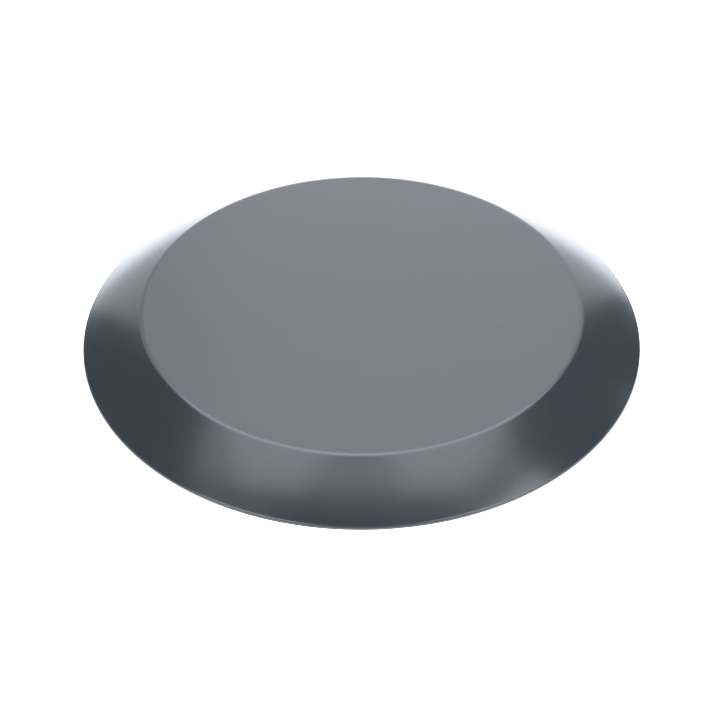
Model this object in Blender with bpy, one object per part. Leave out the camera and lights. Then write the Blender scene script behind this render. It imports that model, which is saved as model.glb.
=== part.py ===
"""Lift-off weathertight manhole cover: a pressed steel cap with a ribbed, gasketed underside.

Metres, +Z up. The origin is the centre of the plane that the rim stands on. The cap slips over
the raised neck of an access shaft: the rim ring stands on the ground around the neck, the
locating ring drops inside it, and the gasket under the flat top seals on its upper edge. The
clamp ring holds the gasket's inner half against the sheet, by nuts on welded studs.
"""

from math import atan2, cos, hypot, pi, radians, sin, tan

import bmesh
import bpy
from mathutils import Matrix, Vector

# Driving dimensions of the cap
RIM_RADIUS = 0.350
FLAT_RADIUS = 0.2705
HEIGHT = 0.0455
SHEET = 0.003
EDGE_RADIUS = 0.016
SHOULDER_RADIUS = 0.004
LIP_HEIGHT = 0.0015
FLANK_BOW = radians(4.0)

# Clearance between pieces that touch or are welded together
GAP = 0.0003

# Rim ring, a flat bar rolled to a ring
RIM_RING_INNER = 0.318
RIM_RING_OUTER = 0.3425
RIM_RING_THICK = 0.004

# Stiffening frame under the flat top
HUB_RADIUS = 0.040
HUB_WALL = 0.005
FRAME_BOTTOM = 0.009
RIB_COUNT = 8
RIB_THICK = 0.005
RIB_OUTER_BOTTOM = 0.014
RIB_SNIPE = 0.008
STIFFENER_INNER = 0.212
STIFFENER_OUTER = 0.217

# Seal, the flat ring that clamps it, and the upright ring welded round the flat one
GASKET_INNER = 0.222
GASKET_OUTER = 0.268
GASKET_THICK = 0.008
CLAMP_THICK = 0.004
LOCATING_OUTER = 0.245
LOCATING_THICK = 0.004

# M8 fasteners on the stud circle
STUD_COUNT = 8
STUD_CIRCLE = 0.2315
STUD_RADIUS = 0.004
STUD_LENGTH = 0.0242
STUD_CHAMFER = 0.0008
HOLE_RADIUS = 0.0045
WASHER_RADIUS = 0.008
WASHER_THICK = 0.0016
NUT_ACROSS_FLATS = 0.013
NUT_THICK = 0.0065
NUT_BORE_RADIUS = 0.00435
NUT_FACE = 0.96
NUT_CHAMFER = radians(30)

# Levels that follow from the sizes above
SHEET_UNDERSIDE = HEIGHT - SHEET
UNDER_TOP = SHEET_UNDERSIDE - GAP
GASKET_BOTTOM = UNDER_TOP - GASKET_THICK
CLAMP_TOP = GASKET_BOTTOM - GAP
CLAMP_UNDERSIDE = CLAMP_TOP - CLAMP_THICK
WASHER_TOP = CLAMP_UNDERSIDE - GAP
NUT_TOP = WASHER_TOP - WASHER_THICK - GAP

# Facets round a full turn
LARGE_TURN = 72
HUB_TURN = 48
SMALL_TURN = 18

# Finishes: colour, roughness, metallic
FINISHES = {
    "slate_paint": ((0.195, 0.205, 0.235, 1.0), 0.38, 0.0),
    "frame_paint": ((0.110, 0.115, 0.130, 1.0), 0.50, 0.0),
    "black_rubber": ((0.020, 0.020, 0.022, 1.0), 0.80, 0.0),
    "zinc_steel": ((0.560, 0.570, 0.580, 1.0), 0.35, 1.0),
}


def clear_scene():
    for item in list(bpy.data.objects):
        bpy.data.objects.remove(item, do_unlink=True)


def finish(name):
    """Return the named material, made once."""
    material = bpy.data.materials.get(name)
    if material is None:
        colour, roughness, metallic = FINISHES[name]
        material = bpy.data.materials.new(name)
        material.use_nodes = True
        shader = material.node_tree.nodes["Principled BSDF"]
        shader.inputs["Base Color"].default_value = colour
        shader.inputs["Roughness"].default_value = roughness
        shader.inputs["Metallic"].default_value = metallic
    return material


def new_object(name, mesh, material, parent):
    item = bpy.data.objects.new(name, mesh)
    if not mesh.materials:
        mesh.materials.append(finish(material))
    bpy.context.scene.collection.objects.link(item)
    item.parent = parent
    return item


def mesh_from(name, form):
    """Write a bmesh out as a mesh with outward faces and crisp edges over 30 degrees."""
    bmesh.ops.recalc_face_normals(form, faces=form.faces)
    mesh = bpy.data.meshes.new(name)
    form.to_mesh(mesh)
    form.free()
    mesh.shade_smooth()
    mesh.set_sharp_from_angle(angle=radians(30))
    return mesh


def turned(name, profile, turn, closed):
    """Turn a profile of (radius, height) points once round the Z axis.

    A closed profile is a ring's section. An open one starts and ends on the axis.
    """
    form = bmesh.new()
    points = [form.verts.new((radius, 0.0, height)) for radius, height in profile]
    edges = [form.edges.new(pair) for pair in zip(points, points[1:])]
    if closed:
        edges.append(form.edges.new((points[-1], points[0])))
    bmesh.ops.spin(form, geom=points + edges, cent=(0, 0, 0), axis=(0, 0, 1),
                   angle=2 * pi, steps=turn, use_merge=True)
    bmesh.ops.remove_doubles(form, verts=form.verts, dist=1e-6)
    return mesh_from(name, form)


def rectangle(inner, outer, bottom, top):
    return [(inner, bottom), (outer, bottom), (outer, top), (inner, top)]


def arc(centre, radius, start, stop, steps):
    """Points of an arc, by the slope of the surface: 0 faces up and a right angle faces out."""
    slopes = [start + (stop - start) * i / steps for i in range(steps + 1)]
    return [(centre[0] + radius * sin(s), centre[1] + radius * cos(s)) for s in slopes]


def flank_ends(chord):
    """Ends of the flank, where it meets the edge round and the shoulder round."""
    upper = chord - FLANK_BOW
    lower = chord + FLANK_BOW
    top = (FLAT_RADIUS + EDGE_RADIUS * sin(upper), HEIGHT - EDGE_RADIUS * (1 - cos(upper)))
    foot = (RIM_RADIUS - SHOULDER_RADIUS * (1 - sin(lower)),
            LIP_HEIGHT + SHOULDER_RADIUS * cos(lower))
    return top, foot


def flank_slope():
    """Slope of the flank's chord, settled so that both rounds run into it without a corner."""
    chord = radians(28)
    for _ in range(12):
        top, foot = flank_ends(chord)
        chord = atan2(top[1] - foot[1], foot[0] - top[0])
    return chord


def cap_skin(inset):
    """Section of the cap from the flat top to the foot of the lip, set in by a depth.

    Edge round, bowed flank, shoulder round and lip follow each other tangentially, and a
    depth moves every point in along its own normal.
    """
    chord = flank_slope()
    top, foot = flank_ends(chord)
    run = hypot(foot[0] - top[0], top[1] - foot[1])
    flank_radius = run / (2 * sin(FLANK_BOW))
    centre = (top[0] - flank_radius * sin(chord - FLANK_BOW),
              top[1] - flank_radius * cos(chord - FLANK_BOW))
    edge = arc((FLAT_RADIUS, HEIGHT - EDGE_RADIUS), EDGE_RADIUS - inset,
               0.0, chord - FLANK_BOW, 4)
    flank = arc(centre, flank_radius - inset, chord - FLANK_BOW, chord + FLANK_BOW, 4)
    shoulder = arc((RIM_RADIUS - SHOULDER_RADIUS, LIP_HEIGHT), SHOULDER_RADIUS - inset,
                   chord + FLANK_BOW, pi / 2, 2)
    return edge + flank[1:-1] + shoulder + [(RIM_RADIUS - inset, 0.0)]


def cover_shell(parent):
    """Pressed cap: flat round top, rounded edge, sloping flank, shoulder and short lip."""
    outside = [(0.0, HEIGHT)] + cap_skin(0.0)
    inside = [(0.0, SHEET_UNDERSIDE)] + cap_skin(SHEET)
    mesh = turned("cover_shell", outside + inside[::-1], LARGE_TURN, closed=False)
    return new_object("cover_shell", mesh, "slate_paint", parent)


def rim_ring(parent):
    """Flat ring inside the foot of the flank, which the cover stands on."""
    section = rectangle(RIM_RING_INNER, RIM_RING_OUTER, 0.0, RIM_RING_THICK)
    mesh = turned("rim_ring", section, LARGE_TURN, closed=True)
    return new_object("rim_ring", mesh, "frame_paint", parent)


def hub_tube(parent):
    """Short tube at the centre, which the ribs run into."""
    section = rectangle(HUB_RADIUS - HUB_WALL, HUB_RADIUS, FRAME_BOTTOM, UNDER_TOP)
    mesh = turned("hub_tube", section, HUB_TURN, closed=True)
    return new_object("hub_tube", mesh, "frame_paint", parent)


def stiffener_ring(parent):
    """Flat bar rolled on edge, which closes the outer ends of the ribs."""
    section = rectangle(STIFFENER_INNER, STIFFENER_OUTER, RIB_OUTER_BOTTOM, UNDER_TOP)
    mesh = turned("stiffener_ring", section, LARGE_TURN, closed=True)
    return new_object("stiffener_ring", mesh, "frame_paint", parent)


def rib_mesh():
    """Flat bar along +X from the hub to the ring, upper corners snipped for the welds."""
    near = HUB_RADIUS + GAP
    far = STIFFENER_INNER - GAP - RIB_THICK / 2 * tan(pi / LARGE_TURN)
    outline = [
        (near, FRAME_BOTTOM),
        (far, RIB_OUTER_BOTTOM),
        (far, UNDER_TOP - RIB_SNIPE),
        (far - RIB_SNIPE, UNDER_TOP),
        (near + RIB_SNIPE, UNDER_TOP),
        (near, UNDER_TOP - RIB_SNIPE),
    ]
    form = bmesh.new()
    side = form.faces.new([form.verts.new((x, -RIB_THICK / 2, z)) for x, z in outline])
    swept = bmesh.ops.extrude_face_region(form, geom=[side])["geom"]
    moved = [item for item in swept if isinstance(item, bmesh.types.BMVert)]
    bmesh.ops.translate(form, verts=moved, vec=(0, RIB_THICK, 0))
    return mesh_from("rib", form)


def ribs(parent):
    mesh = rib_mesh()
    for index in range(RIB_COUNT):
        rib = new_object(f"rib_{index + 1}", mesh, "frame_paint", parent)
        rib.rotation_euler.z = index * 2 * pi / RIB_COUNT


def stud_angle(index):
    """Direction of a stud, half way between two ribs."""
    return (index + 0.5) * 2 * pi / STUD_COUNT


def stud_place(index):
    angle = stud_angle(index)
    return Vector((STUD_CIRCLE * cos(angle), STUD_CIRCLE * sin(angle), 0.0))


def drill(item, bottom, top):
    """Cut the stud holes through a ring."""
    form = bmesh.new()
    depth = (top - bottom) * 2
    for index in range(STUD_COUNT):
        place = stud_place(index) + Vector((0, 0, (top + bottom) / 2))
        bmesh.ops.create_cone(form, cap_ends=True, segments=SMALL_TURN, radius1=HOLE_RADIUS,
                              radius2=HOLE_RADIUS, depth=depth,
                              matrix=Matrix.Translation(place))
    drills = bpy.data.objects.new(f"{item.name}_drills", mesh_from("drills", form))
    bpy.context.scene.collection.objects.link(drills)
    drills.parent = item.parent
    drills.hide_render = True
    drills.display_type = "WIRE"
    cut = item.modifiers.new("stud_holes", "BOOLEAN")
    cut.operation = "DIFFERENCE"
    cut.solver = "EXACT"
    cut.object = drills


def gasket(parent):
    """Flat rubber ring under the top, clamped at its inner half and sealing at its outer."""
    section = rectangle(GASKET_INNER, GASKET_OUTER, GASKET_BOTTOM, UNDER_TOP)
    mesh = turned("gasket", section, LARGE_TURN, closed=True)
    item = new_object("gasket", mesh, "black_rubber", parent)
    drill(item, GASKET_BOTTOM, UNDER_TOP)
    return item


def clamp_ring(parent):
    """Flat ring under the gasket's inner half, drilled for the studs."""
    outer = LOCATING_OUTER - LOCATING_THICK - GAP
    section = rectangle(GASKET_INNER, outer, CLAMP_UNDERSIDE, CLAMP_TOP)
    mesh = turned("clamp_ring", section, LARGE_TURN, closed=True)
    item = new_object("clamp_ring", mesh, "frame_paint", parent)
    drill(item, CLAMP_UNDERSIDE, CLAMP_TOP)
    return item


def locating_ring(parent):
    """Flat bar rolled on edge round the clamp ring, which centres the cover inside the neck."""
    section = rectangle(LOCATING_OUTER - LOCATING_THICK, LOCATING_OUTER, FRAME_BOTTOM, CLAMP_TOP)
    mesh = turned("locating_ring", section, LARGE_TURN, closed=True)
    return new_object("locating_ring", mesh, "frame_paint", parent)


def stud_mesh():
    """Threaded stud hanging from the sheet, its free end chamfered."""
    tip = -STUD_LENGTH
    profile = [
        (0.0, 0.0),
        (STUD_RADIUS, 0.0),
        (STUD_RADIUS, tip + STUD_CHAMFER),
        (STUD_RADIUS - STUD_CHAMFER, tip),
        (0.0, tip),
    ]
    return turned("weld_stud", profile, SMALL_TURN, closed=False)


def washer_mesh():
    section = rectangle(HOLE_RADIUS, WASHER_RADIUS, -WASHER_THICK, 0.0)
    return turned("washer", section, SMALL_TURN, closed=True)


def nut_mesh():
    """Hexagon with a round bore, each face a circle inside the flats and coned off outside it."""
    half = NUT_ACROSS_FLATS / 2
    face = half * NUT_FACE
    angles = [2 * pi * k / SMALL_TURN for k in range(SMALL_TURN)]
    outline = [half / cos((angle + pi / 6) % (pi / 3) - pi / 6) for angle in angles]
    level_bore = [(NUT_BORE_RADIUS, 0.0)] * SMALL_TURN
    level_face = [(face, 0.0)] * SMALL_TURN
    coned = [(radius, (radius - face) * tan(NUT_CHAMFER)) for radius in outline]
    sections = [(level_bore, 1), (level_face, 1), (coned, 1),
                (coned, -1), (level_face, -1), (level_bore, -1)]
    form = bmesh.new()
    loops = []
    for points, side in sections:
        loops.append([form.verts.new((radius * cos(angle), radius * sin(angle),
                                      side * (NUT_THICK / 2 - drop) - NUT_THICK / 2))
                      for (radius, drop), angle in zip(points, angles)])
    for upper, lower in zip(loops, loops[1:] + loops[:1]):
        for k in range(SMALL_TURN):
            form.faces.new((upper[k - 1], lower[k - 1], lower[k], upper[k]))
    return mesh_from("nut", form)


def fasteners(parent):
    """Studs welded to the sheet, each with its washer and nut under the clamp ring."""
    pieces = [("weld_stud", stud_mesh(), UNDER_TOP), ("washer", washer_mesh(), WASHER_TOP),
              ("nut", nut_mesh(), NUT_TOP)]
    for name, mesh, level in pieces:
        for index in range(STUD_COUNT):
            item = new_object(f"{name}_{index + 1}", mesh, "zinc_steel", parent)
            item.location = stud_place(index) + Vector((0, 0, level))
            item.rotation_euler.z = stud_angle(index)


def main():
    clear_scene()
    cover = bpy.data.objects.new("manhole_cover", None)
    bpy.context.scene.collection.objects.link(cover)
    cover_shell(cover)
    rim_ring(cover)
    hub_tube(cover)
    ribs(cover)
    stiffener_ring(cover)
    gasket(cover)
    clamp_ring(cover)
    locating_ring(cover)
    fasteners(cover)


main()
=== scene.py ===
"""Slip-over manhole cover: a smooth painted steel cap with a welded, gasketed underside."""

from math import radians

import bpy
import numpy as np
from mathutils import Matrix, Vector


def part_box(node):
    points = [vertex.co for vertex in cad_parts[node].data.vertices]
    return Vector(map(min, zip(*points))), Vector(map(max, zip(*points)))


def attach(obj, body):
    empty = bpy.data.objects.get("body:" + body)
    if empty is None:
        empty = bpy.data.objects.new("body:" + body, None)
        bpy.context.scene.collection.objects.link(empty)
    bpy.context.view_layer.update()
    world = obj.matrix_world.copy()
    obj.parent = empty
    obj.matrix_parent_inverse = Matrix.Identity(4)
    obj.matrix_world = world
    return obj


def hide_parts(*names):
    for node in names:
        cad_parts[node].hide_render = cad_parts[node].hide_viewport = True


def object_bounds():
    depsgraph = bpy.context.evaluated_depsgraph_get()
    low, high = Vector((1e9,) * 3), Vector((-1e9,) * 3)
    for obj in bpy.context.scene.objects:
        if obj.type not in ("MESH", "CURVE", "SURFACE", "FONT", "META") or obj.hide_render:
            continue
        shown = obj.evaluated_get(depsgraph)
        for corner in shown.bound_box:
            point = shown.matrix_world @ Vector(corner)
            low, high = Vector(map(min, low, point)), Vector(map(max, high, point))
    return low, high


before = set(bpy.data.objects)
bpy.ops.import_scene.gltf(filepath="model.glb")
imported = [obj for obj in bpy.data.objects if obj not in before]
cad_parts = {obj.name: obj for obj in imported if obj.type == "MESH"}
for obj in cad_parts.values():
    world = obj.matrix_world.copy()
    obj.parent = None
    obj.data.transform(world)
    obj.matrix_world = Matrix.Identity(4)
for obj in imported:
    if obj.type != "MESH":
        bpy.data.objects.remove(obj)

CAD_LOW, CAD_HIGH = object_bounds()

# Places that come from the frame
CAP_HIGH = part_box("cover_shell")[1]
RIM_RADIUS = CAP_HIGH.x
HEIGHT = CAP_HIGH.z
HUB_LOW, HUB_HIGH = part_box("hub_tube")
STIFFENER_LOW, STIFFENER_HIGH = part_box("stiffener_ring")
GASKET_LOW, GASKET_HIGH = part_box("gasket")
CLAMP_LOW, CLAMP_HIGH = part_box("clamp_ring")
LOCATING_LOW, LOCATING_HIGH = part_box("locating_ring")
RIM_RING_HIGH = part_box("rim_ring")[1]
STUD_LOW, STUD_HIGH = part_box("weld_stud_1")
WASHER_LOW, WASHER_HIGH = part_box("washer_1")
NUT_LOW, NUT_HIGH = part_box("nut_1")
RIB_LOW, RIB_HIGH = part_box("rib_1")
UNDER_TOP = HUB_HIGH.z

# Walls and rounds of the cap
FLAT_RADIUS = 0.2705
SHEET = 0.003
EDGE_RADIUS = 0.016
SHOULDER_RADIUS = 0.004
LIP_HEIGHT = 0.0015
LIP_EASE = 0.0006
FLANK_BOW = radians(4.0)
FIRST_SLOPE = radians(28)
SLOPE_ROUNDS = 12

# Walls of the bars and rings underneath
RIM_RING_WIDTH = 0.0245
HUB_WALL = 0.005
STIFFENER_WALL = 0.005
GASKET_INNER = 0.222
GASKET_EASE = 0.0009
LOCATING_THICK = 0.004
RIB_SNIPE = 0.008
BAR_EASE = 0.0006
OUTLINE_WEAR = 0.6

# Fasteners on the stud circle
RIB_COUNT = 8
STUD_COUNT = 8
STUD_CIRCLE = 0.2315
STUD_RADIUS = 0.004
THREAD_PITCH = 0.00125
THREAD_DEPTH = 0.00065
THREAD_SLOPE = 2.6
THREAD_CREST = 0.3
THREAD_RUN_OUT = 0.004
THREAD_START = 0.0012
TIP_HEIGHT = 0.0010
TIP_DEPTH = 0.0009
HOLE_RADIUS = 0.0045
WASHER_RADIUS = 0.008
WASHER_EASE = 0.0003
NUT_ACROSS_FLATS = 0.013
NUT_BORE_RADIUS = 0.00435
NUT_FACE = 0.95
NUT_CORNER = 0.985
NUT_CHAMFER = radians(30)
NUT_SINK = 0.0004
NUT_FACE_DIP = 0.00002
NUT_EASE_IN = 0.0001
NUT_EASE_UP = 0.00004
NUT_EASE_DOWN = 0.00012

# Welds: a bead's own shape
BEAD_RIPPLE = 0.10
BEAD_DRIFT = 0.05
BEAD_DRIFT_TURNS = 3.3
BEAD_SHIFT = 0.17
BEAD_TIP = 0.02
BEAD_BLUNTNESS = 8

# Welds: how far a bead's middle stands off its corner, or bites into the bar
FLAT_OFF = 0.0006
FLAT_DOWN = 0.0004
UPRIGHT_OFF = 0.0005
UPRIGHT_BITE = 0.0003
CLAMP_BITE = 0.0002

# Welds: how far an upright bead stops short at its lower and upper end
UPRIGHT_LOW = 0.002
UPRIGHT_HIGH = 0.001

# Welds: sizes and places
FLAT_BEAD = 0.0021
UPRIGHT_BEAD = 0.0019
CLAMP_BEAD = 0.0018
RIB_STITCH_STARTS = (0.062, 0.140, 0.098, 0.176)
RIB_STITCH_SIDES = (1.0, 1.0, -1.0, -1.0)
RIB_STITCH = 0.026
STIFFENER_STITCH_STARTS = (radians(8), radians(29))
STIFFENER_STITCH = radians(8)
CLAMP_STITCHES = 16
CLAMP_STITCH = radians(7)
RIM_BEAD = 0.0023
RIM_BEAD_SPREAD = 1.2
RIM_BEAD_HEIGHT = 0.0027
RIM_RIPPLES = 640
RIM_RIPPLE = 0.08
RIM_DRIFT = 0.04
RIM_DRIFTS = 7

# Fineness
LARGE_TURN = 440
SMALL_TURN = 72
EASE_STEPS = 5
LIP_STEPS = 4
EDGE_STEPS = 16
FLANK_STEPS = 24
SHOULDER_STEPS = 12
THREAD_ROWS = 190
STITCH_STEPS = 60
HUB_WELD_STEPS = 48
RIB_END_STEPS = 40
BEAD_TURN = 12
RIM_WELD_STEPS = 3600
RIM_WELD_TURN = 10
FULL_TURN = 2 * np.pi
HAIR = 0.0004
LONG_STRETCH = 4 * HAIR
TINY = 1e-7


# ---------------------------------------------------------------- surfaces

def make_piece(name, points, faces, edge):
    """Put points, faces and the edge attribute (1 on a rounded edge, 0 elsewhere) into a mesh."""
    mesh = bpy.data.meshes.new(name)
    mesh.from_pydata(points.reshape(-1, 3), [], faces)
    layer = mesh.attributes.new("edge", "FLOAT", "POINT")
    layer.data.foreach_set("value", np.ascontiguousarray(edge.reshape(-1), dtype=np.float32))
    mesh.shade_smooth()
    mesh.update()
    piece = bpy.data.objects.new(name, mesh)
    bpy.context.scene.collection.objects.link(piece)
    return piece


def grid_faces(rows, columns, wrap_rows, wrap_columns, first=0):
    """Quads of a grid of vertices numbered row by row, closed on itself where asked."""
    i = np.arange(rows if wrap_rows else rows - 1)[:, None]
    j = np.arange(columns if wrap_columns else columns - 1)[None, :]
    below = (i + 1) % rows
    beside = (j + 1) % columns
    quads = [i * columns + j, i * columns + beside, below * columns + beside,
             below * columns + j]
    return (np.stack([q + 0 * i + 0 * j for q in quads], axis=-1).reshape(-1, 4)
            + first).tolist()


def turn_section(section, edge, turn):
    """Turn a section round the Z axis and return points, faces and edge values.

    x = r(v) cos u, y = r(v) sin u, z = z(v), with u once round and v along the section, which
    runs down its outer side. A section that starts on the axis ends there too and gets a
    single point at each pole; any other closes on itself.
    """
    polar = section[0, 0] < TINY
    ring = section[1:-1] if polar else section
    ring_edge = edge[1:-1] if polar else edge
    angle = np.arange(turn) * FULL_TURN / turn
    radius, height = ring.T
    points = np.stack([np.cos(angle)[:, None] * radius, np.sin(angle)[:, None] * radius,
                       np.ones(turn)[:, None] * height], axis=-1).reshape(-1, 3)
    values = np.tile(ring_edge, turn)
    count = len(ring)
    faces = grid_faces(turn, count, True, not polar)
    if polar:
        top, bottom = len(points), len(points) + 1
        poles = np.array([[0, 0, section[0, 1]], [0, 0, section[-1, 1]]])
        points = np.concatenate([points, poles])
        values = np.concatenate([values, edge[[0, -1]]])
        here = np.arange(turn) * count
        after = np.roll(here, -1)
        faces += np.stack([here, after, np.full(turn, top)], axis=1).tolist()
        faces += np.stack([after + count - 1, here + count - 1, np.full(turn, bottom)],
                          axis=1).tolist()
    return points, faces, values


def revolve(name, section, edge, turn=LARGE_TURN):
    return make_piece(name, *turn_section(section, edge, turn))


def held(section, edge, closed):
    """Add a point a hair inside each end of every long straight stretch of a section."""
    start = section if closed else section[:-1]
    stop = np.roll(section, -1, axis=0) if closed else section[1:]
    length = np.linalg.norm(stop - start, axis=1)
    along = (stop - start) / length[:, None] * HAIR
    long = length > LONG_STRETCH
    start_edge = edge if closed else edge[:-1]
    rows = np.stack([start, start + along, stop - along], axis=1)
    values = np.stack([start_edge, 0 * start_edge, 0 * start_edge], axis=1)
    keep = np.stack([np.ones_like(long), long, long], axis=1).reshape(-1)
    rows = rows.reshape(-1, section.shape[1])[keep]
    values = values.reshape(-1)[keep]
    if closed:
        return rows, values
    return np.concatenate([rows, section[-1:]]), np.append(values, edge[-1])


def eased(corners, ease):
    """Closed outline of a polygon with every corner rounded by a quadratic curve.

    Near a corner c the curve is (1-t)^2 a + 2t(1-t) c + t^2 b, where a and b lie on the two
    sides at the ease distance from it.
    """
    corners = np.asarray(corners, dtype=float)
    before = np.roll(corners, 1, axis=0) - corners
    after = np.roll(corners, -1, axis=0) - corners
    before /= np.linalg.norm(before, axis=1)[:, None]
    after /= np.linalg.norm(after, axis=1)[:, None]
    t = np.linspace(0, 1, EASE_STEPS + 1)[None, :, None]
    a = (corners + before * ease)[:, None, :]
    b = (corners + after * ease)[:, None, :]
    curve = (1 - t) ** 2 * a + 2 * t * (1 - t) * corners[:, None, :] + t ** 2 * b
    bulge = np.tile(1 - np.abs(2 * t[0, :, 0] - 1), len(corners))
    return held(curve.reshape(-1, 2), bulge, closed=True)


def ring_section(inner, outer, bottom, top, ease=BAR_EASE):
    """Rectangle with eased corners, running down its outer side."""
    return eased([(inner, top), (outer, top), (outer, bottom), (inner, bottom)], ease)


def arc(centre, radius, start, stop, steps):
    """Arc by the slope of the surface: 0 faces up and a right angle faces out."""
    slope = np.linspace(start, stop, steps + 1)
    return np.stack([centre[0] + radius * np.sin(slope), centre[1] + radius * np.cos(slope)],
                    axis=1)


# ---------------------------------------------------------------- the cap

def flank_ends(chord):
    """Ends of the flank, where it meets the edge round and the shoulder round."""
    upper, lower = chord - FLANK_BOW, chord + FLANK_BOW
    top = np.array([FLAT_RADIUS + EDGE_RADIUS * np.sin(upper),
                    HEIGHT - EDGE_RADIUS * (1 - np.cos(upper))])
    foot = np.array([RIM_RADIUS - SHOULDER_RADIUS * (1 - np.sin(lower)),
                     LIP_HEIGHT + SHOULDER_RADIUS * np.cos(lower)])
    return top, foot


def flank_slope():
    """Slope of the flank's chord, settled so that both rounds run into it without a corner."""
    chord = FIRST_SLOPE
    for _ in range(SLOPE_ROUNDS):
        top, foot = flank_ends(chord)
        chord = np.arctan2(top[1] - foot[1], foot[0] - top[0])
    return chord


def cap_skin(inset):
    """Section from the flat top to the foot of the lip, set in by a depth along its normals.

    Edge round, bowed flank and shoulder round are arcs that follow each other tangentially.
    """
    chord = flank_slope()
    upper, lower = chord - FLANK_BOW, chord + FLANK_BOW
    top, foot = flank_ends(chord)
    flank_radius = np.linalg.norm(foot - top) / (2 * np.sin(FLANK_BOW))
    centre = top - flank_radius * np.array([np.sin(upper), np.cos(upper)])
    edge = arc((FLAT_RADIUS, HEIGHT - EDGE_RADIUS), EDGE_RADIUS - inset,
               0.0, upper, EDGE_STEPS)
    flank = arc(centre, flank_radius - inset, upper, lower, FLANK_STEPS)
    shoulder = arc((RIM_RADIUS - SHOULDER_RADIUS, LIP_HEIGHT), SHOULDER_RADIUS - inset,
                   lower, np.pi / 2, SHOULDER_STEPS)
    foot_point = np.array([[RIM_RADIUS - inset, 0.0]])
    return np.concatenate([edge, flank[1:-1], shoulder, foot_point])


def ease_corner(before, corner, after, ease):
    """Round one corner of a section by a quadratic curve."""
    a = corner + (before - corner) / np.linalg.norm(before - corner) * ease
    b = corner + (after - corner) / np.linalg.norm(after - corner) * ease
    t = np.linspace(0, 1, LIP_STEPS + 1)[:, None]
    return (1 - t) ** 2 * a + 2 * t * (1 - t) * corner + t ** 2 * b


def cover_shell():
    """One pressed sheet: the outer skin, the eased cut edge of the lip, and the inner skin."""
    outer = cap_skin(0.0)
    inner = cap_skin(SHEET)
    outer_corner = ease_corner(outer[-2], outer[-1], inner[-1], LIP_EASE)
    inner_corner = ease_corner(outer[-1], inner[-1], inner[-2], LIP_EASE)
    section = np.concatenate([[[0.0, HEIGHT]], outer[:-1], outer_corner, inner_corner,
                              inner[-2::-1], [[0.0, HEIGHT - SHEET]]])
    edge = (section[:, 1] < LIP_HEIGHT).astype(float)
    section, edge = held(section, edge, closed=False)
    return revolve("cover_shell_skin", section, edge)


# ---------------------------------------------------------------- rings and ribs

def rim_ring():
    outer = RIM_RING_HIGH.x
    section = ring_section(outer - RIM_RING_WIDTH, outer, 0.0, RIM_RING_HIGH.z)
    return revolve("rim_ring_bar", *section)


def hub_tube():
    outer = HUB_HIGH.x
    section = ring_section(outer - HUB_WALL, outer, HUB_LOW.z, HUB_HIGH.z)
    return revolve("hub_tube_wall", *section, turn=SMALL_TURN * 2)


def stiffener_ring():
    outer = STIFFENER_HIGH.x
    section = ring_section(outer - STIFFENER_WALL, outer, STIFFENER_LOW.z, STIFFENER_HIGH.z)
    return revolve("stiffener_ring_bar", *section)


def plate(name, outline, edge, half, ease, angle):
    """Flat bar with eased edges, set up on edge along a direction from the axis.

    A closed outline in (distance, height) is stacked in layers across the thickness. The
    outermost layers are set in by the ease, and each face is closed flat.
    """
    side = np.roll(outline, -1, axis=0) - np.roll(outline, 1, axis=0)
    normal = np.stack([side[:, 1], -side[:, 0]], axis=1)
    normal /= np.linalg.norm(normal, axis=1)[:, None]
    turn = np.linspace(0, np.pi / 2, EASE_STEPS)
    inset = np.concatenate([ease * (1 - np.sin(turn)), ease * (1 - np.cos(turn))])
    offset = np.concatenate([-half + ease * (1 - np.cos(turn)), half - ease + ease * np.sin(turn)])
    layers = outline[None] + normal[None] * inset[:, None, None]
    along, height = layers[..., 0], layers[..., 1]
    across = np.broadcast_to(offset[:, None], along.shape)
    points = np.stack([along * np.cos(angle) - across * np.sin(angle),
                       along * np.sin(angle) + across * np.cos(angle), height], axis=-1)
    rows, columns = along.shape
    faces = grid_faces(rows, columns, False, True)
    faces.append(list(range(columns))[::-1])
    faces.append(list(range((rows - 1) * columns, rows * columns)))
    rounding = 1 - np.abs(inset / ease - 0.5) * 2
    value = np.maximum(rounding[:, None], edge[None] * OUTLINE_WEAR)
    return make_piece(name, points, faces, value)


def rib(index):
    """Rib from the hub to the ring, its upper corners snipped for the welds."""
    near, far = RIB_LOW.x, RIB_HIGH.x
    top = RIB_HIGH.z
    corners = [(near, top - RIB_SNIPE), (near + RIB_SNIPE, top), (far - RIB_SNIPE, top),
               (far, top - RIB_SNIPE), (far, STIFFENER_LOW.z), (near, RIB_LOW.z)]
    outline, edge = eased(corners, BAR_EASE)
    angle = index * FULL_TURN / RIB_COUNT
    half = RIB_HIGH.y
    return plate(f"rib_bar_{index + 1}", outline, edge, half, BAR_EASE, angle)


def gasket():
    section = ring_section(GASKET_INNER, GASKET_HIGH.x, GASKET_LOW.z, GASKET_HIGH.z, GASKET_EASE)
    return revolve("gasket_ring", *section)


def clamp_ring():
    section = ring_section(GASKET_INNER, CLAMP_HIGH.x, CLAMP_LOW.z, CLAMP_HIGH.z)
    return revolve("clamp_ring_bar", *section)


def locating_ring():
    outer = LOCATING_HIGH.x
    section = ring_section(outer - LOCATING_THICK, outer, LOCATING_LOW.z, LOCATING_HIGH.z)
    return revolve("locating_ring_bar", *section)


# ---------------------------------------------------------------- fasteners

def stud_place(index):
    angle = (index + 0.5) * FULL_TURN / STUD_COUNT
    return np.array([STUD_CIRCLE * np.cos(angle), STUD_CIRCLE * np.sin(angle), 0.0])


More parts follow.
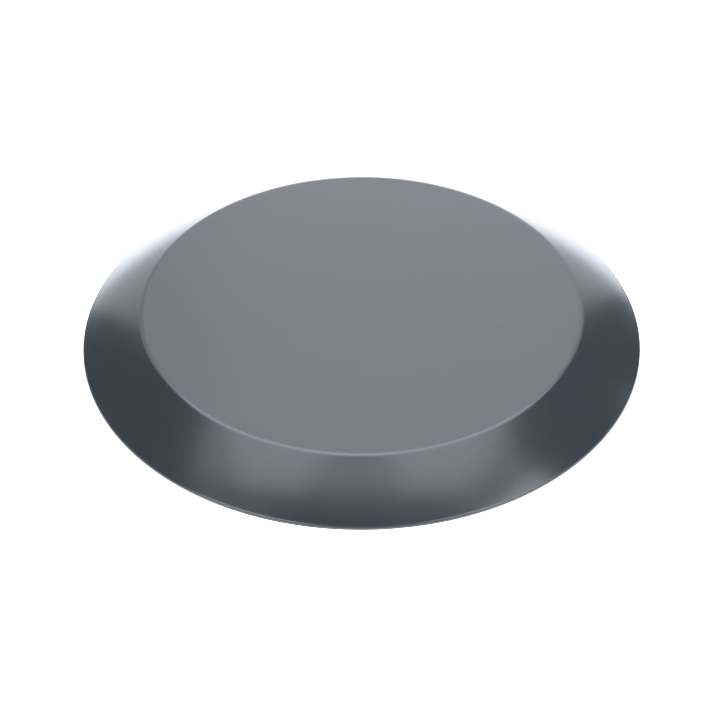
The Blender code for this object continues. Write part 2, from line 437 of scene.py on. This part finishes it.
def thread(index):
    """Threaded stud.

    At height z and angle u the radius is the stud's own less a groove, whose depth follows
    the distance from the middle of the crest of z / pitch - u / (one turn). The groove fades
    out at both ends, and the tip is coned.
    """
    low, high = STUD_LOW.z, STUD_HIGH.z
    z = np.linspace(high, low, THREAD_ROWS)[:, None]
    angle = (np.arange(SMALL_TURN // 2) * FULL_TURN / (SMALL_TURN // 2))[None, :]
    phase = (z / THREAD_PITCH - angle / FULL_TURN) % 1.0
    groove = np.clip(np.abs(phase - 0.5) * THREAD_SLOPE - THREAD_CREST, 0, 1)
    fade = (np.clip((z - low) / THREAD_START, 0, 1)
            * np.clip((high - z) / THREAD_RUN_OUT, 0, 1))
    cone = np.clip((TIP_HEIGHT - (z - low)) / TIP_HEIGHT, 0, 1) * TIP_DEPTH
    radius = STUD_RADIUS - THREAD_DEPTH * groove * fade - cone
    place = stud_place(index)
    points = np.stack([place[0] + radius * np.cos(angle), place[1] + radius * np.sin(angle),
                       z + 0 * angle], axis=-1)
    rows, columns, _ = points.shape
    faces = [face[::-1] for face in grid_faces(rows, columns, False, True)]
    faces.append(list(range(columns)))
    faces.append(list(range((rows - 1) * columns, rows * columns))[::-1])
    return make_piece(f"stud_thread_{index + 1}", points, faces, (1 - groove) * fade)


def at_stud(points, index):
    return points + stud_place(index)


def washer(index):
    section = ring_section(HOLE_RADIUS, WASHER_RADIUS, WASHER_LOW.z, WASHER_HIGH.z,
                           WASHER_EASE)
    points, faces, edge = turn_section(*section, SMALL_TURN)
    return make_piece(f"washer_disc_{index + 1}", at_stud(points, index), faces, edge)


def nut(index):
    """Hexagon nut.

    The outline's radius is half / cos of the angle from the middle of the nearest flat, with
    the corner capped. Each end is a flat face inside the flats and a cone outside them, and
    the bore is countersunk at both ends.
    """
    half = NUT_ACROSS_FLATS / 2
    top, bottom = NUT_HIGH.z, NUT_LOW.z
    face = half * NUT_FACE
    angle = np.arange(SMALL_TURN) * FULL_TURN / SMALL_TURN
    corner = half / np.cos(np.pi / 6)
    flat = (angle + np.pi / 6) % (np.pi / 3) - np.pi / 6
    outline = np.minimum(half / np.cos(flat), corner * NUT_CORNER)
    drop = (outline - face) * np.tan(NUT_CHAMFER)
    bore = np.full(SMALL_TURN, NUT_BORE_RADIUS)
    rim = np.full(SMALL_TURN, face)
    level = np.zeros(SMALL_TURN)
    upper = [
        (bore, level + NUT_SINK),
        (bore + NUT_SINK, level),
        (bore + NUT_SINK + HAIR, level),
        (rim - HAIR, level),
        (rim, level + NUT_FACE_DIP),
        (outline - NUT_EASE_IN, drop - NUT_EASE_UP),
        (outline, drop + NUT_EASE_DOWN),
    ]
    outer = slice(len(upper) - 2, len(upper) + 2)
    radius = np.stack([r for r, _ in upper] + [r for r, _ in upper[::-1]])
    depth = np.stack([d for _, d in upper])
    z = np.concatenate([top - depth, bottom + depth[::-1]])
    turn = (index + 0.5) * FULL_TURN / STUD_COUNT
    place = stud_place(index)
    points = np.stack([place[0] + radius * np.cos(angle + turn),
                       place[1] + radius * np.sin(angle + turn), z], axis=-1)
    rows, columns = radius.shape
    faces = [loop[::-1] for loop in grid_faces(rows, columns, True, True)]
    edge = np.zeros(radius.shape)
    edge[outer] = np.clip((outline - half) / (corner * NUT_CORNER - half), 0, 1)
    return make_piece(f"hex_nut_{index + 1}", points, faces, edge)


# ---------------------------------------------------------------- welds

def beads(name, middle, aside, upward, radius, ripples):
    """Weld beads, each a closed rope along its own line.

    middle, aside and upward are (bead, step, 3) arrays: the line and two directions square to
    it. The radius swells to full size past the ends as (1 - (2s - 1)^8)^(1/2). It ripples by
    a sine of the distance, as the pool of a weld freezes in steps, and drifts by a slower
    sine that starts elsewhere on each bead.
    """
    count, steps, _ = middle.shape
    s = np.linspace(0, 1, steps)[None, :, None]
    swell = np.sqrt(np.clip(1 - (2 * s - 1) ** BEAD_BLUNTNESS, 0, 1))
    shift = BEAD_SHIFT * np.arange(count)[:, None, None]
    ripple = (1 + BEAD_RIPPLE * np.sin(FULL_TURN * ripples * s)
              + BEAD_DRIFT * np.sin(FULL_TURN * (BEAD_DRIFT_TURNS * s + shift)))
    size = np.maximum(radius * swell * ripple, radius * BEAD_TIP)
    angle = (np.arange(BEAD_TURN) * FULL_TURN / BEAD_TURN)[None, None, :]
    offset = (aside[:, :, None, :] * (np.cos(angle) * size)[..., None]
              + upward[:, :, None, :] * (np.sin(angle) * size)[..., None])
    points = middle[:, :, None, :] + offset
    faces = []
    for bead in range(count):
        first = bead * steps * BEAD_TURN
        last = first + (steps - 1) * BEAD_TURN
        faces += grid_faces(steps, BEAD_TURN, False, True, first)
        faces.append(list(range(first, first + BEAD_TURN))[::-1])
        faces.append(list(range(last, last + BEAD_TURN)))
    edge = np.zeros(points.shape[:-1])
    return make_piece(name, points, faces, edge)


def radial_frames(angles, distances, across, height, steps):
    """Lines that run out from the axis.

    distances holds (start, stop) pairs, and across is how far each line stands off sideways.
    """
    s = np.linspace(0, 1, steps)[None, :]
    run = distances[:, :1] + (distances[:, 1:] - distances[:, :1]) * s
    out = np.stack([np.cos(angles), np.sin(angles), 0 * angles], axis=-1)[:, None, :]
    side = np.stack([-np.sin(angles), np.cos(angles), 0 * angles], axis=-1)[:, None, :]
    lift = np.array([0.0, 0.0, height])
    middle = out * run[..., None] + side * across[:, None, None] + lift
    return middle, side + 0 * middle, np.array([0, 0, 1.0]) + 0 * middle


def ring_frames(starts, span, radius, height, steps):
    """Lines that run round the axis from each start angle over a span."""
    angle = starts[:, None] + span * np.linspace(0, 1, steps)[None, :]
    out = np.stack([np.cos(angle), np.sin(angle), 0 * angle], axis=-1)
    return out * radius + np.array([0, 0, height]), -out, np.array([0, 0, 1.0]) + 0 * out


def upright_frames(angles, distance, across, low, high, steps):
    """Upright lines beside a rib's end."""
    z = low + (high - low) * np.linspace(0, 1, steps)[None, :]
    out = np.stack([np.cos(angles), np.sin(angles), 0 * angles], axis=-1)[:, None, :]
    side = np.stack([-np.sin(angles), np.cos(angles), 0 * angles], axis=-1)[:, None, :]
    middle = out * distance + side * across[:, None, None] + np.array([0, 0, 1.0]) * z[..., None]
    return middle, out + 0 * middle, side + 0 * middle


def rib_welds():
    """Stitches along both sides of each rib, staggered from one side to the other."""
    angles = np.repeat(np.arange(RIB_COUNT), len(RIB_STITCH_STARTS)) * FULL_TURN / RIB_COUNT
    starts = np.tile(RIB_STITCH_STARTS, RIB_COUNT)
    across = np.tile(RIB_STITCH_SIDES, RIB_COUNT) * (RIB_HIGH.y + FLAT_OFF)
    distances = np.stack([starts, starts + RIB_STITCH], axis=1)
    frames = radial_frames(angles, distances, across, UNDER_TOP - FLAT_DOWN, STITCH_STEPS)
    return beads("rib_welds", *frames, FLAT_BEAD, ripples=9)


def rib_corner_frames(distance, low, steps):
    """Upright lines in the two corners that each rib's end makes, up to its snipped corner."""
    angles = np.repeat(np.arange(RIB_COUNT), 2) * FULL_TURN / RIB_COUNT
    across = np.tile([1.0, -1.0], RIB_COUNT) * (RIB_HIGH.y + UPRIGHT_OFF)
    high = UNDER_TOP - RIB_SNIPE - UPRIGHT_HIGH
    return upright_frames(angles, distance, across, low + UPRIGHT_LOW, high, steps)


def hub_welds():
    frames = rib_corner_frames(HUB_HIGH.x + UPRIGHT_OFF, RIB_LOW.z, HUB_WELD_STEPS)
    return beads("hub_welds", *frames, UPRIGHT_BEAD, ripples=7)


def rib_end_welds():
    frames = rib_corner_frames(RIB_HIGH.x - UPRIGHT_BITE, STIFFENER_LOW.z, RIB_END_STEPS)
    return beads("rib_end_welds", *frames, UPRIGHT_BEAD, ripples=6)


def stiffener_welds():
    """Stitches between the ring on edge and the cap, two in each bay."""
    bays = np.arange(RIB_COUNT)[:, None] * FULL_TURN / RIB_COUNT
    starts = (bays + np.array(STIFFENER_STITCH_STARTS)[None, :]).reshape(-1)
    inner = STIFFENER_HIGH.x - STIFFENER_WALL
    frames = ring_frames(starts, STIFFENER_STITCH, inner - FLAT_OFF, UNDER_TOP - FLAT_DOWN,
                         STITCH_STEPS)
    return beads("stiffener_welds", *frames, FLAT_BEAD, ripples=9)


def clamp_welds():
    """Stitches in the corner under the clamp ring, inside the locating ring."""
    starts = (np.arange(CLAMP_STITCHES) + 0.5) * FULL_TURN / CLAMP_STITCHES
    frames = ring_frames(starts, CLAMP_STITCH, CLAMP_HIGH.x - CLAMP_BITE,
                         CLAMP_LOW.z - CLAMP_BITE, STITCH_STEPS)
    return beads("clamp_welds", *frames, CLAMP_BEAD, ripples=9)


def rim_weld():
    """One bead all the way round, filling the corner between the rim ring and the lip.

    The rope's size at angle u is b (1 + ripple sin(k u) + drift sin(m u)), and its section
    is an ellipse wide enough to bite into both sides.
    """
    angle = (np.arange(RIM_WELD_STEPS) * FULL_TURN / RIM_WELD_STEPS)[:, None]
    section = (np.arange(RIM_WELD_TURN) * FULL_TURN / RIM_WELD_TURN)[None, :]
    size = RIM_BEAD * (1 + RIM_RIPPLE * np.sin(RIM_RIPPLES * angle)
                       + RIM_DRIFT * np.sin(RIM_DRIFTS * angle))
    middle = (RIM_RING_HIGH.x + RIM_RADIUS - SHEET) / 2
    radius = middle + RIM_BEAD_SPREAD * size * np.cos(section)
    height = RIM_BEAD_HEIGHT + size * np.sin(section)
    points = np.stack([radius * np.cos(angle), radius * np.sin(angle), height], axis=-1)
    faces = [loop[::-1] for loop in grid_faces(RIM_WELD_STEPS, RIM_WELD_TURN, True, True)]
    return make_piece("rim_weld", points, faces, np.zeros(height.shape))


# ---------------------------------------------------------------- shader groups

# Part of 0 to 1 that most noise falls in
NOISE_SPAN = (0.3, 0.7)
GLOSS_SCALE = 22.0

# Handling marks: cells and patches to the metre, and where each mask begins and is full
SPECK_SCALE = 55.0
SPECK_EDGE = (0.05, 0.02)
SPECK_CHOICE = (0.90, 0.93)
PATCH_SCALE = 7.0
PATCH_EDGE = (0.52, 0.66)
HAIR_TURN = radians(24)
HAIR_SCALE = (90.0, 900.0, 900.0)
HAIR_EDGE = (0.775, 0.81)

# Edge wear and dust: where each mask begins and is full
WEAR_EDGE = (0.22, 0.34)
DUST_EDGE = (0.42, 0.72)
DUST_GRAIN_SCALE = 260.0
DUST_GRAIN_EDGE = (0.2, 0.8)
DUST_THIN = 0.6


def new_group(name, inputs, outputs):
    """Empty shader node group with named float or colour sockets: (name, kind, value)."""
    group = bpy.data.node_groups.new(name, "ShaderNodeTree")
    for label, kind, value in inputs:
        socket = group.interface.new_socket(label, in_out="INPUT", socket_type=kind)
        socket.default_value = value
    for label, kind in outputs:
        group.interface.new_socket(label, in_out="OUTPUT", socket_type=kind)
    start = group.nodes.new("NodeGroupInput")
    end = group.nodes.new("NodeGroupOutput")
    return group, start, end


def math_node(tree, operation, first, second=None, clamp=False):
    """Maths on two values, each a socket or a number."""
    node = tree.nodes.new("ShaderNodeMath")
    node.operation = operation
    node.use_clamp = clamp
    for socket, value in zip(node.inputs, (first, second)):
        if value is None:
            continue
        if isinstance(value, (int, float)):
            socket.default_value = value
        else:
            tree.links.new(value, socket)
    return node.outputs[0]


def noise(tree, vector, scale, detail=3.0, roughness=0.5, distortion=0.0):
    node = tree.nodes.new("ShaderNodeTexNoise")
    tree.links.new(vector, node.inputs["Vector"])
    node.inputs["Detail"].default_value = detail
    node.inputs["Roughness"].default_value = roughness
    node.inputs["Distortion"].default_value = distortion
    if isinstance(scale, (int, float)):
        node.inputs["Scale"].default_value = scale
    else:
        tree.links.new(scale, node.inputs["Scale"])
    return node.outputs["Fac"]


def ramp(tree, value, low, high, to_low=0.0, to_high=1.0):
    """Straight-line remap, held at both ends."""
    node = tree.nodes.new("ShaderNodeMapRange")
    node.inputs["From Min"].default_value = low
    node.inputs["From Max"].default_value = high
    node.inputs["To Min"].default_value = to_low
    node.inputs["To Max"].default_value = to_high
    tree.links.new(value, node.inputs["Value"])
    return node.outputs["Result"]


def object_place(tree):
    return tree.nodes.new("ShaderNodeTexCoord").outputs["Object"]


def paint_texture_group():
    """Stoved paint: slow tone drift, fine orange peel and a faint change of gloss."""
    group, start, end = new_group(
        "paint_texture",
        [("Drift Scale", "NodeSocketFloat", 4.0), ("Peel Scale", "NodeSocketFloat", 500.0)],
        [("Drift", "NodeSocketFloat"), ("Peel", "NodeSocketFloat"), ("Gloss", "NodeSocketFloat")])
    place = object_place(group)
    drift = noise(group, place, start.outputs["Drift Scale"], detail=3.0)
    peel = noise(group, place, start.outputs["Peel Scale"], detail=2.0, roughness=0.45)
    gloss = noise(group, place, GLOSS_SCALE, detail=5.0, roughness=0.6)
    group.links.new(ramp(group, drift, *NOISE_SPAN), end.inputs["Drift"])
    group.links.new(peel, end.inputs["Peel"])
    group.links.new(ramp(group, gloss, *NOISE_SPAN), end.inputs["Gloss"])
    return group


def handling_group():
    """Handling marks: sparse pale specks and short hair scratches, in patches."""
    group, start, end = new_group(
        "handling_marks", [("Amount", "NodeSocketFloat", 0.5)],
        [("Specks", "NodeSocketFloat"), ("Scratches", "NodeSocketFloat")])
    place = object_place(group)
    cells = group.nodes.new("ShaderNodeTexVoronoi")
    cells.inputs["Scale"].default_value = SPECK_SCALE
    group.links.new(place, cells.inputs["Vector"])
    dot = ramp(group, cells.outputs["Distance"], *SPECK_EDGE)
    pick = group.nodes.new("ShaderNodeSeparateColor")
    group.links.new(cells.outputs["Color"], pick.inputs["Color"])
    chosen = ramp(group, pick.outputs["Red"], *SPECK_CHOICE)
    patch = ramp(group, noise(group, place, PATCH_SCALE, detail=2.0), *PATCH_EDGE)
    specks = math_node(group, "MULTIPLY", math_node(group, "MULTIPLY", dot, chosen), patch)
    stretch = group.nodes.new("ShaderNodeMapping")
    stretch.inputs["Rotation"].default_value = (0.0, 0.0, HAIR_TURN)
    stretch.inputs["Scale"].default_value = HAIR_SCALE
    group.links.new(place, stretch.inputs["Vector"])
    streaks = noise(group, stretch.outputs["Vector"], scale=1.0, detail=1.0)
    hair = ramp(group, streaks, *HAIR_EDGE)
    hair = math_node(group, "MULTIPLY", hair, patch)
    for value, label in ((specks, "Specks"), (hair, "Scratches")):
        scaled = math_node(group, "MULTIPLY", value, start.outputs["Amount"], clamp=True)
        group.links.new(scaled, end.inputs[label])
    return group


def worn_edge_group():
    """Edge wear: the edge attribute broken up by noise."""
    group, start, end = new_group(
        "worn_edge", [("Amount", "NodeSocketFloat", 0.5), ("Scale", "NodeSocketFloat", 160.0)],
        [("Mask", "NodeSocketFloat")])
    attribute = group.nodes.new("ShaderNodeAttribute")
    attribute.attribute_name = "edge"
    broken = noise(group, object_place(group), start.outputs["Scale"],
                   detail=4.0, roughness=0.65)
    weight = math_node(group, "MULTIPLY", attribute.outputs["Fac"], broken)
    weight = math_node(group, "MULTIPLY", weight, start.outputs["Amount"])
    group.links.new(ramp(group, weight, *WEAR_EDGE), end.inputs["Mask"])
    return group


def dust_group():
    """Dull dust in soft patches."""
    group, start, end = new_group(
        "dust", [("Scale", "NodeSocketFloat", 9.0), ("Amount", "NodeSocketFloat", 0.3)],
        [("Mask", "NodeSocketFloat")])
    place = object_place(group)
    broad = noise(group, place, start.outputs["Scale"],
                  detail=6.0, roughness=0.62, distortion=0.4)
    fine = noise(group, place, DUST_GRAIN_SCALE, detail=2.0)
    broad = ramp(group, broad, *DUST_EDGE)
    fine = ramp(group, fine, *DUST_GRAIN_EDGE, DUST_THIN, 1.0)
    mixed = math_node(group, "MULTIPLY", broad, fine)
    mixed = math_node(group, "MULTIPLY", mixed, start.outputs["Amount"], clamp=True)
    group.links.new(mixed, end.inputs["Mask"])
    return group


GROUPS = {
    "paint": paint_texture_group(),
    "handling": handling_group(),
    "edge": worn_edge_group(),
    "dust": dust_group(),
}


def use(tree, name, **values):
    """Place a group in a material with its own values."""
    node = tree.nodes.new("ShaderNodeGroup")
    node.node_tree = GROUPS[name]
    for label, value in values.items():
        node.inputs[label.replace("_", " ")].default_value = value
    return node


def mix_colour(tree, factor, first, second):
    """Blend two colours, each a socket or an RGB triple."""
    node = tree.nodes.new("ShaderNodeMix")
    node.data_type = "RGBA"
    tree.links.new(factor, node.inputs["Factor"])
    for socket, value in ((node.inputs[6], first), (node.inputs[7], second)):
        if isinstance(value, tuple):
            socket.default_value = (*value, 1.0)
        else:
            tree.links.new(value, socket)
    return node.outputs[2]


def bump(tree, height, distance, strength=1.0, normal=None):
    node = tree.nodes.new("ShaderNodeBump")
    node.inputs["Distance"].default_value = distance
    node.inputs["Strength"].default_value = strength
    tree.links.new(height, node.inputs["Height"])
    if normal is not None:
        tree.links.new(normal, node.inputs["Normal"])
    return node.outputs["Normal"]


def new_material(name):
    material = bpy.data.materials.new(name)
    material.use_nodes = True
    tree = material.node_tree
    return material, tree, tree.nodes["Principled BSDF"]


# ---------------------------------------------------------------- materials

# Colours
SLATE = (0.0155, 0.0185, 0.0210)
SLATE_DRIFT = (0.0175, 0.0205, 0.0232)
MARK = (0.30, 0.31, 0.33)
FRAME_GREY = (0.035, 0.037, 0.042)
FRAME_DRIFT = (0.050, 0.052, 0.058)
PRIMER = (0.16, 0.15, 0.145)
DUST = (0.20, 0.19, 0.175)
RUBBER = (0.012, 0.012, 0.013)
RUBBER_BLOOM = (0.024, 0.024, 0.025)
ZINC = (0.30, 0.305, 0.315)
ZINC_SHADE = (0.19, 0.195, 0.205)

# Roughness, from the glossiest to the dullest spot
COVER_ROUGHNESS = (0.19, 0.215)
FRAME_ROUGHNESS = (0.40, 0.56)
RUBBER_ROUGHNESS = (0.66, 0.86)
ZINC_ROUGHNESS = (0.30, 0.48)
DUST_ROUGHNESS = 0.5

# Depth of each grain in metres
COVER_PEEL = 0.00002
FRAME_PEEL = 0.00006
RUBBER_GRAIN = 0.00012
ZINC_GRAIN = 0.00003

# Fineness of each grain, to the metre
RUBBER_GRAIN_SCALE = 1400.0
ZINC_GRAIN_SCALE = 1800.0
SPANGLE_SCALE = 420.0


def cover_paint():
    """Satin slate paint of the cap, with faint handling marks."""
    material, tree, shader = new_material("slate_paint")
    paint = use(tree, "paint", Drift_Scale=3.5, Peel_Scale=420.0)
    marks = use(tree, "handling", Amount=0.25)
    colour = mix_colour(tree, paint.outputs["Drift"], SLATE, SLATE_DRIFT)
    colour = mix_colour(tree, marks.outputs["Specks"], colour, MARK)
    colour = mix_colour(tree, marks.outputs["Scratches"], colour, MARK)
    tree.links.new(colour, shader.inputs["Base Color"])
    tree.links.new(ramp(tree, paint.outputs["Gloss"], 0.0, 1.0, *COVER_ROUGHNESS),
                   shader.inputs["Roughness"])
    shader.inputs["IOR"].default_value = 1.5
    normal = bump(tree, paint.outputs["Peel"], COVER_PEEL)
    tree.links.new(normal, shader.inputs["Normal"])
    return material


def frame_paint():
    """Thinner dark paint over welded bar, rubbed at the edges and dusty on the flats."""
    material, tree, shader = new_material("frame_paint")
    paint = use(tree, "paint", Drift_Scale=11.0, Peel_Scale=650.0)
    wear = use(tree, "edge", Amount=0.8, Scale=210.0)
    dust = use(tree, "dust", Scale=12.0, Amount=0.35)
    colour = mix_colour(tree, paint.outputs["Drift"], FRAME_GREY, FRAME_DRIFT)
    colour = mix_colour(tree, dust.outputs["Mask"], colour, DUST)
    colour = mix_colour(tree, wear.outputs["Mask"], colour, PRIMER)
    tree.links.new(colour, shader.inputs["Base Color"])
    rough = ramp(tree, paint.outputs["Gloss"], 0.0, 1.0, *FRAME_ROUGHNESS)
    dull = math_node(tree, "MULTIPLY", dust.outputs["Mask"], DUST_ROUGHNESS)
    rough = math_node(tree, "ADD", rough, dull, clamp=True)
    tree.links.new(rough, shader.inputs["Roughness"])
    normal = bump(tree, paint.outputs["Peel"], FRAME_PEEL)
    tree.links.new(normal, shader.inputs["Normal"])
    return material


def gasket_rubber():
    """Matt black rubber with a faint bloom and a fine moulded grain."""
    material, tree, shader = new_material("gasket_rubber")
    dust = use(tree, "dust", Scale=16.0, Amount=0.6)
    colour = mix_colour(tree, dust.outputs["Mask"], RUBBER, RUBBER_BLOOM)
    tree.links.new(colour, shader.inputs["Base Color"])
    shader.inputs["Specular IOR Level"].default_value = 0.3
    grain = noise(tree, object_place(tree), RUBBER_GRAIN_SCALE, detail=3.0, roughness=0.7)
    tree.links.new(ramp(tree, grain, *NOISE_SPAN, *RUBBER_ROUGHNESS),
                   shader.inputs["Roughness"])
    tree.links.new(bump(tree, grain, RUBBER_GRAIN), shader.inputs["Normal"])
    return material


def zinc_steel():
    """Dull zinc plate with a fine grain and a faint spangle."""
    material, tree, shader = new_material("zinc_steel")
    place = object_place(tree)
    grain = noise(tree, place, ZINC_GRAIN_SCALE, detail=4.0, roughness=0.6)
    spangle = tree.nodes.new("ShaderNodeTexVoronoi")
    spangle.inputs["Scale"].default_value = SPANGLE_SCALE
    tree.links.new(place, spangle.inputs["Vector"])
    split = tree.nodes.new("ShaderNodeSeparateColor")
    tree.links.new(spangle.outputs["Color"], split.inputs["Color"])
    colour = mix_colour(tree, ramp(tree, split.outputs["Red"], 0.0, 1.0), ZINC, ZINC_SHADE)
    tree.links.new(colour, shader.inputs["Base Color"])
    shader.inputs["Metallic"].default_value = 1.0
    tree.links.new(ramp(tree, grain, *NOISE_SPAN, *ZINC_ROUGHNESS), shader.inputs["Roughness"])
    tree.links.new(bump(tree, grain, ZINC_GRAIN), shader.inputs["Normal"])
    return material


# ---------------------------------------------------------------- stage

CAMERA_DISTANCE = 2.45
CAMERA_ELEVATION = radians(39.66)
CAMERA_DIP = radians(0.828)
CAMERA_YAW = radians(0.064)
CAMERA_ROLL = radians(-0.254)
LENS = 97.0

FLOOR_SIZE = 30.0
FLOOR_DROP = 0.0005
FLOOR_COLOUR = (0.85, 0.85, 0.85, 1.0)
FLOOR_ROUGHNESS = 0.9
FLOOR_GLOW = 2.1
WORLD_GLOW = 0.08
STUDIO_TINT = (0.96, 0.99, 1.08)
# name: turn from straight behind towards the right, elevation, distance, width, height, glow
LIGHTS = {
    "back": (-1.5, 25.5, 3.0, 4.85, 2.9, 1.65),
    "back_core": (7, 45, 3.0, 2.4, 6.2, 0.72),
    "back_stripe": (3, 32, 3.0, 1.1, 3.6, 0.55),
    "back_top": (0, 64, 3.0, 3.2, 0.9, 1.4),
    "overhead": (4, 79, 3.0, 3.55, 3.15, 2.0),
    "overhead_left": (-64, 70, 3.0, 2.6, 1.65, 2.05),
    "overhead_right": (65, 72, 3.0, 2.4, 1.65, 2.0),
    "overhead_front": (180, 73, 3.0, 1.1, 0.6, 0.7),
    "side_right": (128, 39, 3.0, 2.25, 1.5, 6.0),
    "front_right": (129, 14, 3.0, 1.3, 1.6, 2.2),
    "front_left": (-137, 37, 3.0, 1.9, 1.5, 5.8),
    "front_left_low": (-137, 14, 3.0, 1.3, 1.6, 1.2),
    "low_left": (-92, 14, 3.0, 2.6, 1.5, 0.6),
    "low_right": (84, 14, 3.0, 2.4, 1.5, 0.6),
    "low_front": (180, 30, 3.0, 2.6, 2.0, 1.2),
}


def add_camera():
    """Camera that looks at the cover from the front, high up and a long way off."""
    data = bpy.data.cameras.new("camera")
    data.lens = LENS
    data.clip_end = 100.0
    camera = bpy.data.objects.new("camera", data)
    bpy.context.scene.collection.objects.link(camera)
    direction = Vector((0.0, -np.cos(CAMERA_ELEVATION), np.sin(CAMERA_ELEVATION)))
    camera.location = direction * CAMERA_DISTANCE
    tilt = radians(90) - CAMERA_ELEVATION - CAMERA_DIP
    turn = (Matrix.Rotation(CAMERA_YAW, 4, "Z") @ Matrix.Rotation(tilt, 4, "X")
            @ Matrix.Rotation(CAMERA_ROLL, 4, "Z"))
    camera.rotation_euler = turn.to_euler()
    bpy.context.scene.camera = camera


def add_light(name, turn, elevation, distance, width, height, glow):
    """Soft panel of even glow that faces the cover."""
    turn, elevation = radians(turn), radians(elevation)
    data = bpy.data.lights.new(name, "AREA")
    data.shape = "RECTANGLE"
    data.size = width
    data.size_y = height
    data.energy = glow * width * height * np.pi
    data.color = STUDIO_TINT
    panel = bpy.data.objects.new(name, data)
    bpy.context.scene.collection.objects.link(panel)
    direction = Vector((np.sin(turn) * np.cos(elevation), np.cos(turn) * np.cos(elevation),
                        np.sin(elevation)))
    panel.location = direction * distance
    panel.rotation_euler = direction.to_track_quat("Z", "Y").to_euler()
    panel.visible_camera = False


def add_world():
    """Plain white for the eye, dim grey for the cover."""
    world = bpy.data.worlds.new("studio")
    world.use_nodes = True
    tree = world.node_tree
    background = tree.nodes["Background"]
    path = tree.nodes.new("ShaderNodeLightPath")
    tree.links.new(ramp(tree, path.outputs["Is Camera Ray"], 0.0, 1.0, WORLD_GLOW, 1.0),
                   background.inputs["Strength"])
    background.inputs["Color"].default_value = (1.0, 1.0, 1.0, 1.0)
    bpy.context.scene.world = world


def add_floor():
    """Plain pale floor that glows evenly, and can be looked through from below."""
    points = np.array([[-1, -1, 0], [1, -1, 0], [1, 1, 0], [-1, 1, 0]]) * FLOOR_SIZE / 2
    points[:, 2] = CAD_LOW.z - FLOOR_DROP
    floor = make_piece("floor", points, [[0, 1, 2, 3]], np.zeros(4))
    material, tree, shader = new_material("pale_floor")
    shader.inputs["Base Color"].default_value = FLOOR_COLOUR
    shader.inputs["Roughness"].default_value = FLOOR_ROUGHNESS
    shader.inputs["Emission Color"].default_value = (*STUDIO_TINT, 1.0)
    shader.inputs["Emission Strength"].default_value = FLOOR_GLOW
    clear = tree.nodes.new("ShaderNodeBsdfTransparent")
    choose = tree.nodes.new("ShaderNodeMixShader")
    facing = tree.nodes.new("ShaderNodeNewGeometry")
    tree.links.new(facing.outputs["Backfacing"], choose.inputs["Fac"])
    tree.links.new(shader.outputs["BSDF"], choose.inputs[1])
    tree.links.new(clear.outputs["BSDF"], choose.inputs[2])
    output = tree.nodes["Material Output"]
    tree.links.new(choose.outputs["Shader"], output.inputs["Surface"])
    floor.data.materials.append(material)


# ---------------------------------------------------------------- assembly

def dress(piece, material, slot, *nodes):
    """Give a piece its material, its body and the frame nodes it stands for. The slot is not used.
    """
    piece.data.materials.append(material)
    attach(piece, "root")
    if nodes:
        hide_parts(*nodes)


def main():
    bpy.context.scene.view_settings.view_transform = "Standard"
    add_camera()
    add_world()
    add_floor()
    for name, values in LIGHTS.items():
        add_light(name, *values)

    cap, bars = cover_paint(), frame_paint()
    rubber, zinc = gasket_rubber(), zinc_steel()
    dress(cover_shell(), cap, "cover_paint", "cover_shell")
    dress(rim_ring(), bars, "frame_paint", "rim_ring")
    dress(hub_tube(), bars, "frame_paint", "hub_tube")
    dress(stiffener_ring(), bars, "frame_paint", "stiffener_ring")
    dress(clamp_ring(), bars, "frame_paint", "clamp_ring")
    dress(locating_ring(), bars, "frame_paint", "locating_ring")
    dress(gasket(), rubber, "gasket_rubber", "gasket")
    for index in range(RIB_COUNT):
        dress(rib(index), bars, "frame_paint", f"rib_{index + 1}")
    for index in range(STUD_COUNT):
        number = index + 1
        dress(thread(index), zinc, "fastener_zinc", f"weld_stud_{number}")
        dress(washer(index), zinc, "fastener_zinc", f"washer_{number}")
        dress(nut(index), zinc, "fastener_zinc", f"nut_{number}")
    for welds in (rib_welds, hub_welds, rib_end_welds, stiffener_welds, clamp_welds, rim_weld):
        dress(welds(), bars, "frame_paint")


main()
